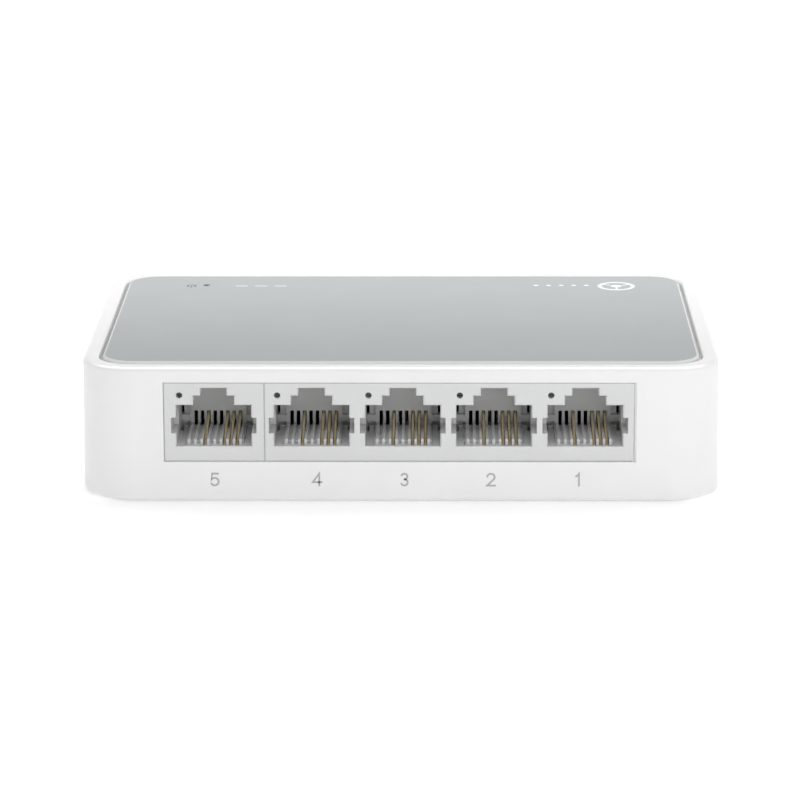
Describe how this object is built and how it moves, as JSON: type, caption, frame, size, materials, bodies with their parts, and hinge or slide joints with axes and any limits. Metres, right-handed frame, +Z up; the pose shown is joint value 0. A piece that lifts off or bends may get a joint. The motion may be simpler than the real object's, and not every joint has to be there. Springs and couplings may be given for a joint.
{
  "type": "desktop network switch",
  "caption": "Flat desktop network switch: white rounded casing with a grey top panel and a row of modular sockets along one side.",
  "frame": {"origin": "on the surface that the rubber feet stand on, under the middle of the casing", "axes": "+Z up, -Y out of the port side, +Y out of the power socket, X along the row of ports"},
  "size_m": [0.1034, 0.07, 0.0226],
  "materials": {
    "white_plastic": "fine satin texture",
    "grey_plastic": "fine matt texture",
    "socket_plastic": "moulded satin",
    "comb_plastic": "moulded satin",
    "gold_plate": "gold flash over spring bronze",
    "tinned_metal": "dull tin plate",
    "nickel_plate": "bright nickel",
    "clear_plastic": "clear, slightly milky ends",
    "lamp_plastic": "pale green diffused",
    "board_laminate": "green solder mask",
    "black_moulding": "matt epoxy",
    "black_socket": "moulded black",
    "sleeve_film": "dark shrink sleeve, bare metal top",
    "ferrite": "dark sintered",
    "resistor_ceramic": "dark glaze, tinned ends",
    "capacitor_ceramic": "tan ceramic, tinned ends",
    "foot_rubber": "soft matt",
    "label_paper": "satin label stock",
    "zinc_steel": "zinc plate"
  },
  "bodies": {
    "case": {"upper_case": "white_plastic", "lower_case": "white_plastic", "top_panel": "grey_plastic", "rating_label": "label_paper", "case_screws": "zinc_steel", "main_board": "board_laminate", "jack_housing_single": "socket_plastic", "jack_housing_quad": "socket_plastic", "dc_socket_housing": "black_socket", "dc_centre_pin": "nickel_plate", "dc_fixed_contacts": "tinned_metal", "power_light_pipe": "clear_plastic", "power_lamp": "lamp_plastic", "switch_chip": "black_moulding", "switch_chip_leads": "tinned_metal", "quad_magnetics": "black_moulding", "quad_magnetics_leads": "tinned_metal", "single_magnetics": "black_moulding", "single_magnetics_leads": "tinned_metal", "regulator": "black_moulding", "regulator_leads": "tinned_metal", "crystal": "nickel_plate", "power_inductor": "ferrite", "schottky_diode": "black_moulding", "chip_resistors": "resistor_ceramic", "chip_capacitors": "capacitor_ceramic", "electrolytic_capacitor_1": "sleeve_film", "electrolytic_capacitor_2": "sleeve_film", "rubber_foot_1": "foot_rubber", "rubber_foot_2": "foot_rubber", "rubber_foot_3": "foot_rubber", "rubber_foot_4": "foot_rubber", "port_5_insert": "comb_plastic", "port_5_tails": "gold_plate", "port_5_light_pipe": "clear_plastic", "port_5_lamp": "lamp_plastic", "port_4_insert": "comb_plastic", "port_4_tails": "gold_plate", "port_4_light_pipe": "clear_plastic", "port_4_lamp": "lamp_plastic", "port_3_insert": "comb_plastic", "port_3_tails": "gold_plate", "port_3_light_pipe": "clear_plastic", "port_3_lamp": "lamp_plastic", "port_2_insert": "comb_plastic", "port_2_tails": "gold_plate", "port_2_light_pipe": "clear_plastic", "port_2_lamp": "lamp_plastic", "port_1_insert": "comb_plastic", "port_1_tails": "gold_plate", "port_1_light_pipe": "clear_plastic", "port_1_lamp": "lamp_plastic"},
    "port_5_spring_wires": {"port_5_contacts": "gold_plate"},
    "port_4_spring_wires": {"port_4_contacts": "gold_plate"},
    "port_3_spring_wires": {"port_3_contacts": "gold_plate"},
    "port_2_spring_wires": {"port_2_contacts": "gold_plate"},
    "port_1_spring_wires": {"port_1_contacts": "gold_plate"},
    "power_sleeve_spring": {"dc_sleeve_spring": "nickel_plate"}
  },
  "joints": [
    {"name": "port_5_wire_bend", "type": "hinge", "parent": "case", "child": "port_5_spring_wires", "pos_m": [-0.03, -0.03222, 0.00895], "axis": [-1, 0, 0], "range_deg": [0, 12], "stiffness_Nm_per_rad": 0.2},
    {"name": "port_4_wire_bend", "type": "hinge", "parent": "case", "child": "port_4_spring_wires", "pos_m": [-0.01426, -0.03222, 0.00895], "axis": [-1, 0, 0], "range_deg": [0, 12], "stiffness_Nm_per_rad": 0.2},
    {"name": "port_3_wire_bend", "type": "hinge", "parent": "case", "child": "port_3_spring_wires", "pos_m": [0.0004, -0.03222, 0.00895], "axis": [-1, 0, 0], "range_deg": [0, 12], "stiffness_Nm_per_rad": 0.2},
    {"name": "port_2_wire_bend", "type": "hinge", "parent": "case", "child": "port_2_spring_wires", "pos_m": [0.01506, -0.03222, 0.00895], "axis": [-1, 0, 0], "range_deg": [0, 12], "stiffness_Nm_per_rad": 0.2},
    {"name": "port_1_wire_bend", "type": "hinge", "parent": "case", "child": "port_1_spring_wires", "pos_m": [0.02972, -0.03222, 0.00895], "axis": [-1, 0, 0], "range_deg": [0, 12], "stiffness_Nm_per_rad": 0.2},
    {"name": "power_spring_bend", "type": "hinge", "parent": "case", "child": "power_sleeve_spring", "pos_m": [-0.014, 0.02385, 0.00898], "axis": [-1, 0, 0], "range_deg": [0, 5], "stiffness_Nm_per_rad": 0.3}
  ]
}
